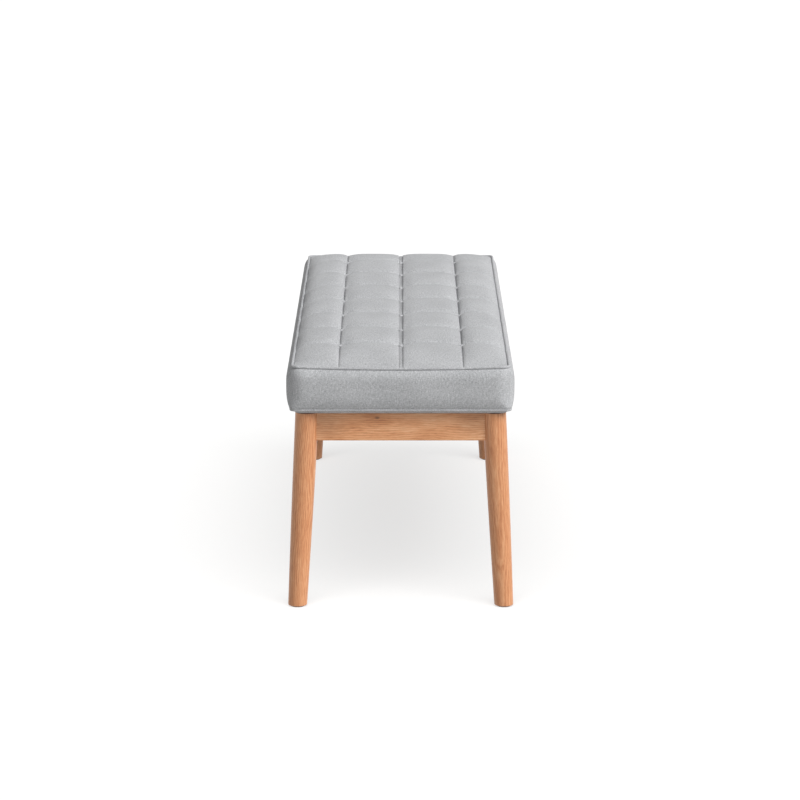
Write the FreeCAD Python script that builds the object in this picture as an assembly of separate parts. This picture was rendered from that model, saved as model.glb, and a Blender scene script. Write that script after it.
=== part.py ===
"""Upholstered bench: a tufted box cushion on a plywood deck, screwed to a turned-leg hardwood frame.

The long side runs along X, the depth along Y, and Z is up. The origin lies on the floor, under the
middle of the seat. All sizes are in millimetres.
"""

import FreeCAD
import Part

import math
import os

from FreeCAD import Vector

# Driving dimensions of the cushion
SEAT_LENGTH = 1270.0          # over the swell of the side bands
SEAT_DEPTH = 410.0
BAND_SWELL = 9.5              # how far the side bands stand out past the piping line
BAND_FULLNESS = 4.0           # the side's swell is this flat: a high power keeps it out almost to the pipings
BAND_STATIONS = (0.0, 0.1, 0.3, 0.7, 0.9, 1.0)
PIPING_RADIUS = 2.4
PIPING_SIDES = 8
PIPING_CORNER = 14.0
BAND_CORNER = 40.0            # plan corner at mid height, so that the swell dies at the corners
FABRIC = 1.5
LOFT_GAP = 0.8                # between the cover and the padding, where loose fibres fill out
SEWN_GAP = 0.1                # between the edge of a cloth and the piping that it is sewn to
TOP_PIPING_Z = 444.0
BOTTOM_PIPING_Z = 365.6
FOAM_TOP = 434.0
BACKING_THICK = 0.8

# Driving dimensions of the tufting, with rows along the bench and columns across it
ROWS = 8
SEAM_Y = (-112.0, 0.0, 112.0)
TUFT_Z = 454.5
SEAM_RISE = 4.0               # how far a seam climbs half way between two tufts
CREASE_RISE = 8.0             # how far a crease arches over its two tufts
CROWN_RISE = 10.0             # how far a panel's middle stands above its two seams
HEM_RISE = 1.0                # the same at the piping, where the panel is sewn in nearly flat
END_SEAM_RISE = 5.5           # bow of the seams over the last panel, on their way down to the piping
END_CROWN_RISE = 1.5
OUTER_FULLNESS = 0.37         # how much of its step down to the piping an outer panel's middle makes up for
PANEL_STATIONS = (0.0, 0.2, 0.5, 0.8, 1.0)
PADDING_STATIONS = (0.0, 0.5, 1.0)
SWELL_POWER = 0.7             # under 1, so that a panel is steep at its crease and flat on its crown

# Driving dimensions of the tuft ties
BUTTON_RADIUS = 4.0
BUTTON_SHOULDER = 3.2
BUTTON_SIDE = 1.6
BUTTON_HEIGHT = 2.4
BUTTON_LIFT = 1.7             # of the button's flat underside over the cloth at the bottom of its pit
BUTTON_SIDES = 8
TWINE_THICK = 1.8
TWINE_HOLE = 2.2

# Driving dimensions of the frame
FRAME_TOP = 357.0
RAIL_HEIGHT = 51.0
RAIL_THICK = 22.0
RAIL_ROUND = 1.5
LEG_AXIS_X = 600.5            # the leg's axis at the middle of the rails
LEG_AXIS_Y = 170.5
LEG_SPLAY = 19.0 / 360.0      # sideways run of the axis per millimetre of height, both ways
LEG_FOOT_RADIUS = 17.2
LEG_MID_RADIUS = 19.8
LEG_TOP_RADIUS = 21.4
FOOT_CHAMFER = 1.2
GLIDE_RADIUS = 12.0
GLIDE_THICK = 2.0
GLIDE_PIN_RADIUS = 1.5
GLIDE_PIN_LENGTH = 14.0
GLIDE_PIN_SIDES = 8

# Driving dimensions of the deck and of the cloth under it
DUST_COVER_THICK = 0.5
DUST_COVER_MARGIN = 12.0      # from the piping line to the edge of the dust cover
DUST_COVER_SLIT = 10.0        # the square let-out round each screw
TURN_IN_THICK = 1.0
TURN_IN_WIDTH = 42.0
TURN_IN_SLOPE = 4.5           # how far the cloth draws in below the piping
DECK_THICK = 15.0
DECK_INSET = 2.7              # from the piping line to the deck's edge
DECK_CHAMFER = 4.0
DECK_CORNER = 12.0

# Driving dimensions of the joinery and hardware
TENON_THICK = 10.0
TENON_HEIGHT = 13.0
TENON_OFFSET = 14.0           # of a tenon's middle above or below the middle of the rail
TENON_TIP = 6.5               # from the leg's axis to the tenon's end
TENON_ROOT = 30.0
HOUSING_DEPTH = 4.0           # how deep a brace's end sits in the long rail
BLOCK_HEIGHT = 40.0
BLOCK_NEAR = 45.0             # distance along both rails, added, to the block's face by the leg
BLOCK_FAR = 95.0              # and to its face towards the middle of the bench
BRACE_X = 235.0
BRACE_SCREW_Y = 90.0
HANGER_RADIUS = 4.0
HANGER_TIP = 8.0              # how far the bolt runs past the leg's axis
HANGER_END = 80.0
HANGER_POINT = 3.0            # the tapered tip of its wood thread
HANGER_SIDES = 12
WASHER_SIDES = 16
NUT_FLATS = 13.0
NUT_THICK = 6.5
WASHER_RADIUS = 10.0
WASHER_THICK = 2.0
SCREW_RADIUS = 2.0
SCREW_HEAD_RADIUS = 4.2
SCREW_HEAD_RIM = 3.4          # radius of the head's outer face
SCREW_HEAD_THICK = 2.6
SCREW_POINT = 3.0
SCREW_TIP_RADIUS = 0.4
SCREW_SIDES = 8
SCREW_POCKET = 5.0            # radius of the pocket round a block screw's head
BLOCK_SCREW_LENGTH = 24.0
BLOCK_SCREW_ALONG = 72.0      # along the rail, from the leg's axis
BLOCK_SCREW_SEAT = 20.0       # from the rail's middle plane to the seat of the head
SEAT_SCREW_CORNER = (52.0, 30.0)
SEAT_SCREW_BITE = 11.0        # how far the screw runs up into the deck
SEAT_SCREW_HEAD_DEPTH = 6.0   # how deep the head sits in the underside of the block or brace
FIT_GAP = 0.1                 # round tenons, screws and pins
CLEARANCE = 0.5               # round bolts that pass through wood

# Sizes that follow
PIPING_X = SEAT_LENGTH / 2 - BAND_SWELL
PIPING_Y = SEAT_DEPTH / 2 - BAND_SWELL
HEM_INSET = PIPING_RADIUS + SEWN_GAP
BAND_MIDDLE = (TOP_PIPING_Z + BOTTOM_PIPING_Z) / 2
BAND_HALF_HEIGHT = (TOP_PIPING_Z - BOTTOM_PIPING_Z) / 2
TUFT_PITCH = 2 * PIPING_X / ROWS
TUFTS = [((row - ROWS / 2) * TUFT_PITCH, y) for row in range(1, ROWS) for y in SEAM_Y]
LAST_TUFT_X = PIPING_X - TUFT_PITCH
RAIL_BOTTOM = FRAME_TOP - RAIL_HEIGHT
RAIL_MID = (FRAME_TOP + RAIL_BOTTOM) / 2
RAIL_HALF = RAIL_THICK / 2
LEG_FOOT_SPREAD = LEG_SPLAY * RAIL_MID
BLOCK_BOTTOM = FRAME_TOP - BLOCK_HEIGHT
BLOCK_MID = (FRAME_TOP + BLOCK_BOTTOM) / 2
BLOCK_FACE = BLOCK_FAR * math.sqrt(0.5)       # the block's inner face, along the corner's diagonal
DECK_BOTTOM = FRAME_TOP + DUST_COVER_THICK + TURN_IN_THICK
DECK_TOP = DECK_BOTTOM + DECK_THICK
CORNERS = {"front_left": (-1, -1), "front_right": (1, -1), "rear_left": (-1, 1), "rear_right": (1, 1)}
SIGNS = list(CORNERS.values())
UP = Vector(0, 0, 1)


def save(name, *solids):
    """One STEP file per node; like pieces go into one node as separate solids."""
    shape = solids[0] if len(solids) == 1 else Part.makeCompound(list(solids))
    shape.exportStep(f"parts/{name}.step")
    print(f"{name}: {len(shape.Solids)} solid(s), {shape.Volume / 1000:.1f} cm3, valid {shape.isValid()}")


def joined(solids):
    """One clean solid out of several that touch or overlap."""
    return solids[0].multiFuse(solids[1:]).removeSplitter()


def rod(start, end, radius):
    """A plain round bar from one point to another."""
    along = end - start
    return Part.makeCylinder(radius, along.Length, start, along)


def box(center_x, center_y, size_x, size_y, bottom, top):
    """An upright box by the middle of its plan."""
    corner = Vector(center_x - size_x / 2, center_y - size_y / 2, bottom)
    return Part.makeBox(size_x, size_y, top - bottom, corner)


def placed(solid, base, axis):
    """A solid made upright at the origin, moved to a base point and turned on to an axis."""
    solid.Placement = FreeCAD.Placement(base, FreeCAD.Rotation(UP, axis))
    return solid


def turned(points, base, axis):
    """A turned solid: its half profile is a polygon of (radius, height) points."""
    profile = Part.makePolygon([Vector(radius, 0, height) for radius, height in points + points[:1]])
    return placed(Part.Face(profile).revolve(Vector(0, 0, 0), UP, 360), base, axis)


def ring_of_sides(radius, height, sides):
    """A level polygon with its corners on a circle."""
    turns = [2 * math.pi * side / sides for side in range(sides + 1)]
    points = [Vector(radius * math.cos(turn), radius * math.sin(turn), height) for turn in turns]
    return Part.makePolygon(points)


def sided(levels, sides, base, axis):
    """A small round piece that repeats many times, kept light by a few flats: (radius, height) levels."""
    rings = [ring_of_sides(radius, height, sides) for radius, height in levels]
    return placed(Part.makeLoft(rings, True, True), base, axis)


def pin(start, end, radius, sides=HANGER_SIDES):
    """A small round bar from one point to another, kept light by a few flats."""
    return sided([(radius, 0), (radius, (end - start).Length)], sides, start, end - start)


def outline(half_length, half_depth, corner, z):
    """A rounded rectangle of four arcs and four lines, level at z."""
    def on_corner(sx, sy, angle):
        turn = math.radians(angle)
        return Vector(sx * (half_length - corner) + corner * math.cos(turn),
                      sy * (half_depth - corner) + corner * math.sin(turn), z)

    quarters = [(1, 1, 0), (-1, 1, 90), (-1, -1, 180), (1, -1, 270)]
    edges = []
    for number, (sx, sy, angle) in enumerate(quarters):
        arc = [on_corner(sx, sy, angle + step) for step in (0, 45, 90)]
        edges.append(Part.Arc(*arc).toShape())
        next_sx, next_sy, next_angle = quarters[(number + 1) % 4]
        edges.append(Part.LineSegment(arc[2], on_corner(next_sx, next_sy, next_angle)).toShape())
    return Part.Wire(edges)


def slab(half_length, half_depth, corner, bottom, thick):
    """A flat plate with rounded plan corners."""
    return Part.Face(outline(half_length, half_depth, corner, bottom)).extrude(UP * thick)


# The sides of the cushion
def band_outline(z, inset):
    """The cushion's plan at one height: it swells between the two piping lines, least at the corners."""
    share = max(0.0, 1 - abs((z - BAND_MIDDLE) / BAND_HALF_HEIGHT) ** BAND_FULLNESS)
    out = BAND_SWELL * share - inset
    corner = PIPING_CORNER + (BAND_CORNER - PIPING_CORNER) * share - inset
    return outline(PIPING_X + out, PIPING_Y + out, corner, z)


def band_solid(bottom, top, inset):
    """The swollen block between two heights, lofted through level outlines."""
    levels = [bottom + (top - bottom) * station for station in BAND_STATIONS]
    return Part.makeLoft([band_outline(z, inset) for z in levels], True, True)


def side_bands():
    """The boxing: four strips of cloth round the foam, sewn to each other down the cushion's corners."""
    bottom, top = BOTTOM_PIPING_Z + HEM_INSET, TOP_PIPING_Z - HEM_INSET
    shell = band_solid(bottom, top, 0.0).cut(band_solid(bottom, top, FABRIC))
    ends = {}
    for name, sx in (("left", -1), ("right", 1)):
        past = 2 * BAND_SWELL
        plan = [Vector(sx * (PIPING_X - PIPING_Y), 0, bottom - 1)]
        plan += [Vector(sx * (PIPING_X + past), sy * (PIPING_Y + past), bottom - 1) for sy in (-1, 1)]
        wedge = Part.Face(Part.makePolygon(plan + plan[:1])).extrude(UP * (top - bottom + 2))
        ends[name] = shell.common(wedge).Solids[0]
        shell = shell.cut(wedge)
    front, rear = sorted(shell.Solids, key=lambda solid: solid.CenterOfMass.y)
    return {"side_band_front": front, "side_band_rear": rear,
            "end_band_left": ends["left"], "end_band_right": ends["right"]}


def piping(z):
    """A welt: cord in a strip of the cloth, all round the cushion."""
    path = outline(PIPING_X, PIPING_Y, PIPING_CORNER, z)
    start = path.Vertexes[0].Point
    ring = ring_of_sides(PIPING_RADIUS, 0, PIPING_SIDES)
    ring.Placement = FreeCAD.Placement(start, FreeCAD.Rotation(UP, Vector(0, 1, 0)))
    return path.makePipeShell([ring], True, False)


def foam_core():
    """The firm block on the deck, cut to fill the inside of the bands."""
    return band_solid(DECK_TOP, FOAM_TOP, FABRIC + LOFT_GAP)


# The tufted top
def heights_at(x):
    """At one x: the height of the seams, and how far the panels rise above them."""
    past = (abs(x) - LAST_TUFT_X) / TUFT_PITCH
    if past > 0.001:
        swell = 4 * past * (1 - past)
        seam = TUFT_Z + (TOP_PIPING_Z - TUFT_Z) * past + END_SEAM_RISE * swell
        rise = CREASE_RISE + (HEM_RISE - CREASE_RISE) * past + END_CROWN_RISE * swell
        return seam, rise
    share = (abs(x) / TUFT_PITCH) % 1
    swell = max(0.0, 4 * share * (1 - share)) ** SWELL_POWER
    return TUFT_Z + SEAM_RISE * swell, CREASE_RISE + (CROWN_RISE - CREASE_RISE) * swell


def panel_arc(x, low, high, inset, drop):
    """One column's surface at one x: an arc between two seams, or between a seam and the hem."""
    seam, rise = heights_at(x)
    ends = []
    for y in (low, high):
        at_hem = abs(y) == PIPING_Y
        ends.append(Vector(x, math.copysign(PIPING_Y - inset, y) if at_hem else y,
                           (TOP_PIPING_Z if at_hem else seam) - drop))
    step_down = abs(ends[1].z - ends[0].z)
    middle = (ends[0] + ends[1]) / 2 + UP * (rise + OUTER_FULLNESS * step_down)
    return ends[0], middle, ends[1]


def columns():
    """The y of the two edges of each column; the outer ones run to the piping."""
    edges = (-PIPING_Y,) + SEAM_Y + (PIPING_Y,)
    return list(zip(edges[:-1], edges[1:]))


def lofted_rows(section_at, stations, inset):
    """Eight lofts end to end, each from one crease to the next, made one solid."""
    half_length = PIPING_X - inset
    rows = []
    for row in range(ROWS):
        places = [(row + share - ROWS / 2) * TUFT_PITCH for share in stations]
        places = [max(-half_length, min(half_length, x)) for x in places]
        rows.append(Part.makeLoft([section_at(x) for x in places], True, True))
    return joined(rows)


def cloth_section(x, low, high):
    """The cut across one strip of cloth: its upper arc, and the same arc one cloth lower."""
    upper = panel_arc(x, low, high, HEM_INSET, 0.0)
    lower = panel_arc(x, low, high, HEM_INSET, FABRIC)
    return Part.Wire([Part.Arc(*upper).toShape(),
                      Part.LineSegment(upper[2], lower[2]).toShape(),
                      Part.Arc(*reversed(lower)).toShape(),
                      Part.LineSegment(lower[0], upper[0]).toShape()])


def within_piping(solid, inset, bottom):
    """Trims a top layer to the rounded corners of the piping."""
    room = slab(PIPING_X - inset, PIPING_Y - inset, PIPING_CORNER - inset, bottom, 2 * BAND_HALF_HEIGHT)
    return solid.common(room).Solids[0]


def top_strips():
    """The top cover: four strips of cloth sewn edge to edge, each swelling row by row."""
    strips = []
    for low, high in columns():
        strip = lofted_rows(lambda x: cloth_section(x, low, high), PANEL_STATIONS, HEM_INSET)
        if PIPING_Y in (-low, high):
            strip = within_piping(strip, HEM_INSET, FOAM_TOP)
        strips.append(strip.cut(twine_holes()))
    return strips


def padding_section(x):
    """The cut across the fibre layer: flat below, one arc for each column above."""
    inset, drop = HEM_INSET + LOFT_GAP, FABRIC + LOFT_GAP
    arcs = [panel_arc(x, low, high, inset, drop) for low, high in columns()]
    first, last = arcs[0][0], arcs[-1][2]
    floor = FOAM_TOP + BACKING_THICK
    foot = [Vector(x, first.y, floor), Vector(x, last.y, floor)]
    edges = [Part.LineSegment(foot[0], first).toShape()]
    edges += [Part.Arc(*arc).toShape() for arc in arcs]
    edges += [Part.LineSegment(last, foot[1]).toShape(), Part.LineSegment(foot[1], foot[0]).toShape()]
    return Part.Wire(edges)


def fibre_topper():
    """The soft layer that the tufting draws down, between the cover and its backing."""
    inset = HEM_INSET + LOFT_GAP
    whole = lofted_rows(padding_section, PADDING_STATIONS, inset)
    return within_piping(whole, inset, FOAM_TOP).cut(twine_holes())


def backing_cloth():
    """The plain cloth under the fibre that the tufts are tied to, lying on the foam."""
    inset = HEM_INSET + LOFT_GAP
    sheet = slab(PIPING_X - inset, PIPING_Y - inset, PIPING_CORNER - inset, FOAM_TOP, BACKING_THICK)
    return sheet.cut(twine_holes())


# The tuft ties, one at each crossing of seam and crease
def twine_holes():
    holes = [box(x, y, TWINE_HOLE, TWINE_HOLE, FOAM_TOP - 1, TUFT_Z + CREASE_RISE) for x, y in TUFTS]
    return Part.makeCompound(holes)


def tuft_button(x, y):
    """A small cloth-covered button, flat below and domed above."""
    levels = [(BUTTON_RADIUS, 0), (BUTTON_SHOULDER, BUTTON_SIDE), (BUTTON_RADIUS / 4, BUTTON_HEIGHT)]
    return sided(levels, BUTTON_SIDES, Vector(x, y, TUFT_Z + BUTTON_LIFT), UP)


def tuft_twine(x, y):
    """The twine from the button down through cover and fibre to the backing cloth."""
    return box(x, y, TWINE_THICK, TWINE_THICK, FOAM_TOP, TUFT_Z + BUTTON_LIFT)


# The legs
def in_corner(sx, sy, u, v, z):
    """A point given from a leg's axis: u along the long rail and v along the end rail, both inwards."""
    return Vector(sx * (LEG_AXIS_X - u), sy * (LEG_AXIS_Y - v), z)


def foot_center(sx, sy):
    return in_corner(sx, sy, -LEG_FOOT_SPREAD, -LEG_FOOT_SPREAD, 0)


def leg_blank(sx, sy):
    """A turned leg, fuller than a straight taper, splayed both ways and sawn level at both ends."""
    spare = LEG_TOP_RADIUS
    middle = FRAME_TOP / 2
    taper_below = (LEG_MID_RADIUS - LEG_FOOT_RADIUS) / middle
    taper_above = (LEG_TOP_RADIUS - LEG_MID_RADIUS) / middle
    points = [(0, -spare), (LEG_FOOT_RADIUS - taper_below * spare, -spare), (LEG_MID_RADIUS, middle),
              (LEG_TOP_RADIUS + taper_above * spare, FRAME_TOP + spare), (0, FRAME_TOP + spare)]
    foot = foot_center(sx, sy)
    whole = turned(points, foot, Vector(-sx * LEG_SPLAY, -sy * LEG_SPLAY, 1))
    room = 6 * LEG_TOP_RADIUS
    sawn = whole.common(box(foot.x, foot.y, room, room, GLIDE_THICK, FRAME_TOP)).Solids[0]
    sole = [edge for edge in sawn.Edges if edge.BoundBox.ZMax < GLIDE_THICK + FIT_GAP]
    return sawn.makeChamfer(FOOT_CHAMFER, sole)


def leg(sx, sy, blank):
    """The leg with its mortises, its bolt hole and the hole for its glide."""
    cuts = [tenon(sx, sy, along_x, level, FIT_GAP) for along_x in (True, False) for level in (-1, 1)]
    bolt_end = hanger_point(sx, sy, LEG_TOP_RADIUS + RAIL_HALF)
    cuts.append(pin(hanger_point(sx, sy, -HANGER_TIP - FIT_GAP), bolt_end, HANGER_RADIUS + FIT_GAP))
    cuts.append(glide_pin(sx, sy, FIT_GAP))
    return blank.cut(Part.makeCompound(cuts))


def glide_pin(sx, sy, gap):
    levels = [(GLIDE_PIN_RADIUS + gap, 0), (GLIDE_PIN_RADIUS + gap, GLIDE_THICK + GLIDE_PIN_LENGTH + gap)]
    return sided(levels, GLIDE_PIN_SIDES, foot_center(sx, sy), UP)


def foot_glide(sx, sy):
    """A nylon pad with the pin that holds it in the foot."""
    pad = rod(foot_center(sx, sy), foot_center(sx, sy) + UP * GLIDE_THICK, GLIDE_RADIUS)
    return joined([pad, glide_pin(sx, sy, 0.0)])


# The rails and braces
def tenon(sx, sy, along_x, level, gap):
    """One of the two tenons on the end of a rail. With a gap, the solid of its mortise."""
    middle, length = (TENON_TIP + TENON_ROOT) / 2, TENON_ROOT - TENON_TIP + 2 * gap
    thick, height = TENON_THICK + 2 * gap, TENON_HEIGHT + 2 * gap
    z = RAIL_MID + level * TENON_OFFSET
    center = in_corner(sx, sy, middle if along_x else 0, 0 if along_x else middle, z)
    size_x, size_y = (length, thick) if along_x else (thick, length)
    return box(center.x, center.y, size_x, size_y, z - height / 2, z + height / 2)


def beam(center_x, center_y, size_x, size_y, bottom):
    """A planed bar up to the top of the frame, with its four long arrises rounded."""
    bar = box(center_x, center_y, size_x, size_y, bottom, FRAME_TOP)
    along = Vector(1, 0, 0) if size_x > size_y else Vector(0, 1, 0)
    arrises = [edge for edge in bar.Edges if abs(edge.tangentAt(edge.FirstParameter).dot(along)) > 0.9]
    return bar.makeFillet(RAIL_ROUND, arrises)


def coped(bar, corners, along_x, blanks):
    """A bar with its ends hollowed to the rounds of two legs, and tenons that run on into them."""
    bar = bar.cut(Part.makeCompound([blanks[corner] for corner in corners]))
    bar = max(bar.Solids, key=lambda solid: solid.Volume)
    tenons = [tenon(*corner, along_x, level, 0.0) for corner in corners for level in (-1, 1)]
    bar = joined([bar] + tenons)
    return bar.cut(Part.makeCompound([block_screw(*corner, along_x, FIT_GAP) for corner in corners]))


def end_rail(sx, blanks):
    """The short rail between two legs."""
    bar = beam(sx * LEG_AXIS_X, 0, RAIL_THICK, 2 * LEG_AXIS_Y, RAIL_BOTTOM)
    return coped(bar, [(sx, -1), (sx, 1)], False, blanks)


def long_rail(sy, blanks):
    """The long rail between two legs, with a housing for the end of each brace."""
    bar = beam(0, sy * LEG_AXIS_Y, 2 * LEG_AXIS_X, RAIL_THICK, RAIL_BOTTOM)
    bar = coped(bar, [(-1, sy), (1, sy)], True, blanks)
    return bar.cut(Part.makeCompound([cross_brace_blank(sx) for sx in (-1, 1)]))


def cross_brace_blank(sx):
    reach = LEG_AXIS_Y - RAIL_HALF + HOUSING_DEPTH
    return box(sx * BRACE_X, 0, RAIL_THICK, 2 * reach, BLOCK_BOTTOM, FRAME_TOP)


def cross_brace(sx):
    """One of the two bars under the deck between the long rails, housed in them and drilled for screws."""
    points = [point for point in seat_screw_points() if point.x == sx * BRACE_X]
    return cross_brace_blank(sx).cut(Part.makeCompound([seat_screw_hole(point) for point in points]))


# The corner blocks and their hardware
def hanger_point(sx, sy, distance):
    """A point on the hanger bolt, by its distance from the leg's axis along the corner's diagonal."""
    share = distance * math.sqrt(0.5)
    return in_corner(sx, sy, share, share, RAIL_MID)


def corner_block(sx, sy):
    """A block between the two rails of a corner, bored for its bolt and screws."""
    near, far = BLOCK_NEAR - RAIL_HALF, BLOCK_FAR - RAIL_HALF
    plan = [(near, RAIL_HALF), (far, RAIL_HALF), (RAIL_HALF, far), (RAIL_HALF, near)]
    points = [in_corner(sx, sy, u, v, BLOCK_BOTTOM) for u, v in plan]
    block = Part.Face(Part.makePolygon(points + points[:1])).extrude(UP * BLOCK_HEIGHT)
    cuts = [pin(hanger_point(sx, sy, 0), hanger_point(sx, sy, HANGER_END), HANGER_RADIUS + CLEARANCE),
            seat_screw_hole(in_corner(sx, sy, *SEAT_SCREW_CORNER, BLOCK_BOTTOM))]
    for along_x in (True, False):
        cuts.append(block_screw(sx, sy, along_x, FIT_GAP))
        seat, axis = block_screw_seat(sx, sy, along_x)
        cuts.append(sided([(SCREW_POCKET, 0), (SCREW_POCKET, RAIL_THICK)], SCREW_SIDES, seat, -axis))
    return block.cut(Part.makeCompound(cuts))


def hanger_bolt(sx, sy):
    """The bolt that draws a leg into its corner: wood thread at one end, machine thread at the other."""
    levels = [(HANGER_RADIUS / 2, 0), (HANGER_RADIUS, HANGER_POINT), (HANGER_RADIUS, HANGER_TIP + HANGER_END)]
    return sided(levels, HANGER_SIDES, hanger_point(sx, sy, -HANGER_TIP), Vector(-sx, -sy, 0))


def hanger_washer(sx, sy):
    start, end = hanger_point(sx, sy, BLOCK_FACE), hanger_point(sx, sy, BLOCK_FACE + WASHER_THICK)
    return pin(start, end, WASHER_RADIUS, WASHER_SIDES).cut(pin(start, end, HANGER_RADIUS + FIT_GAP))


def hanger_nut(sx, sy):
    start = hanger_point(sx, sy, BLOCK_FACE + WASHER_THICK)
    end = hanger_point(sx, sy, BLOCK_FACE + WASHER_THICK + NUT_THICK)
    corner_radius = NUT_FLATS / math.sqrt(3)
    hexagon = sided([(corner_radius, 0), (corner_radius, NUT_THICK)], 6, start, end - start)
    return hexagon.cut(pin(start, end, HANGER_RADIUS + FIT_GAP))


def screw(length, gap, seat, axis):
    """A wood screw by the seat of its flat head, running down an axis. With a gap, its hole."""
    shank = [(SCREW_RADIUS + gap, -gap), (SCREW_RADIUS + gap, length - SCREW_POINT)]
    shank.append((SCREW_TIP_RADIUS + gap, length + gap))
    head = [(SCREW_HEAD_RIM + gap, -SCREW_HEAD_THICK - gap), (SCREW_HEAD_RADIUS + gap, 0)]
    return sided(shank, SCREW_SIDES, seat, axis).fuse(sided(head, SCREW_SIDES, seat, axis)).removeSplitter()


def block_screw_seat(sx, sy, along_x):
    """Where the head of a block's screw sits, and the way that the screw runs into its rail."""
    u, v = BLOCK_SCREW_ALONG, BLOCK_SCREW_SEAT
    seat = in_corner(sx, sy, u if along_x else v, v if along_x else u, BLOCK_MID)
    return seat, Vector(0, sy, 0) if along_x else Vector(sx, 0, 0)


def block_screw(sx, sy, along_x, gap):
    seat, axis = block_screw_seat(sx, sy, along_x)
    return screw(BLOCK_SCREW_LENGTH, gap, seat, axis)


# The screws that hold the cushion down
def seat_screw_points():
    """Where they enter, under the corner blocks and under the braces."""
    points = [in_corner(sx, sy, *SEAT_SCREW_CORNER, BLOCK_BOTTOM) for sx, sy in SIGNS]
    return points + [Vector(sx * BRACE_X, sy * BRACE_SCREW_Y, BLOCK_BOTTOM) for sx, sy in SIGNS]


def seat_screw(point, gap):
    length = DECK_BOTTOM + SEAT_SCREW_BITE - BLOCK_BOTTOM - SEAT_SCREW_HEAD_DEPTH
    return screw(length, gap, point + UP * SEAT_SCREW_HEAD_DEPTH, UP)


def seat_screw_hole(point):
    """The hole through a block or brace, with a pocket for the head."""
    pocket = sided([(SCREW_POCKET, -1), (SCREW_POCKET, SEAT_SCREW_HEAD_DEPTH)], SCREW_SIDES, point, UP)
    return seat_screw(point, FIT_GAP).fuse(pocket)


# The deck and the cloth under it
def deck_board():
    """The plywood board, its lower edge eased so that the cloth turns under it."""
    board = slab(PIPING_X - DECK_INSET, PIPING_Y - DECK_INSET, DECK_CORNER, DECK_BOTTOM, DECK_THICK)
    lower_edges = [edge for edge in board.Edges if edge.BoundBox.ZMax < DECK_BOTTOM + FIT_GAP]
    return board.makeChamfer(DECK_CHAMFER, lower_edges)


def seat_deck(board):
    return board.cut(Part.makeCompound([seat_screw(point, FIT_GAP) for point in seat_screw_points()]))


def cover_turn_in(board):
    """The hem of the bands, drawn in under the lower piping and on to the underside of the deck."""
    top, bottom = BOTTOM_PIPING_Z - HEM_INSET, DECK_BOTTOM - TURN_IN_THICK
    outer = Part.makeLoft([outline(PIPING_X - TURN_IN_SLOPE, PIPING_Y - TURN_IN_SLOPE, DECK_CORNER, bottom),
                           outline(PIPING_X, PIPING_Y, PIPING_CORNER, top)], True, True)
    window = slab(PIPING_X - TURN_IN_WIDTH, PIPING_Y - TURN_IN_WIDTH, DECK_CORNER, bottom, DECK_THICK)
    return outer.cut(board).cut(window)


def dust_cover():
    """The thin black cloth under the deck, cut out round the screws."""
    sheet = slab(PIPING_X - DUST_COVER_MARGIN, PIPING_Y - DUST_COVER_MARGIN, DECK_CORNER, FRAME_TOP,
                 DUST_COVER_THICK)
    slits = [box(point.x, point.y, DUST_COVER_SLIT, DUST_COVER_SLIT, FRAME_TOP - 1, DECK_BOTTOM)
             for point in seat_screw_points()]
    return sheet.cut(Part.makeCompound(slits))


def main():
    os.makedirs("parts", exist_ok=True)
    board = deck_board()
    blanks = {corner: leg_blank(*corner) for corner in SIGNS}

    for number, strip in enumerate(top_strips(), 1):
        save(f"top_strip_{number}", strip)
    for name, band in side_bands().items():
        save(name, band)
    save("piping_top", piping(TOP_PIPING_Z))
    save("piping_bottom", piping(BOTTOM_PIPING_Z))
    save("cover_turn_in", cover_turn_in(board))
    save("fibre_topper", fibre_topper())
    save("backing_cloth", backing_cloth())
    save("foam_core", foam_core())
    save("tuft_buttons", *[tuft_button(x, y) for x, y in TUFTS])
    save("tuft_twines", *[tuft_twine(x, y) for x, y in TUFTS])
    save("seat_deck", seat_deck(board))
    save("dust_cover", dust_cover())

    for name, corner in CORNERS.items():
        save(f"leg_{name}", leg(*corner, blanks[corner]))
        save(f"corner_block_{name}", corner_block(*corner))
    for name, side in (("left", -1), ("right", 1)):
        save(f"end_rail_{name}", end_rail(side, blanks))
        save(f"cross_brace_{name}", cross_brace(side))
    for name, side in (("front", -1), ("rear", 1)):
        save(f"long_rail_{name}", long_rail(side, blanks))
    save("hanger_bolts", *[hanger_bolt(*corner) for corner in SIGNS])
    save("hanger_washers", *[hanger_washer(*corner) for corner in SIGNS])
    save("hanger_nuts", *[hanger_nut(*corner) for corner in SIGNS])
    along = (True, False)
    save("block_screws", *[block_screw(*corner, along_x, 0.0) for corner in SIGNS for along_x in along])
    save("seat_screws", *[seat_screw(point, 0.0) for point in seat_screw_points()])
    save("foot_glides", *[foot_glide(*corner) for corner in SIGNS])


main()
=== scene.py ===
# %% [markdown]
# # An upholstered bench with a tufted seat
# A long box cushion in light grey cloth sits on a plywood board. Piping runs round its upper and lower
# edge, three seams run along its top, and 21 small covered buttons tie the top down in seven rows. The
# board is screwed to a frame of hardwood rails and four turned legs, which splay both ways. The solid
# model is loaded first, because it fixes every size and place. What is soft or turned is then modelled
# again with the detail that a solid model leaves out, and what is already right only gets its material.

# %% Load the solid model
import math

import bmesh
import bpy
import numpy as np
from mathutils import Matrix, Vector, noise


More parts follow.
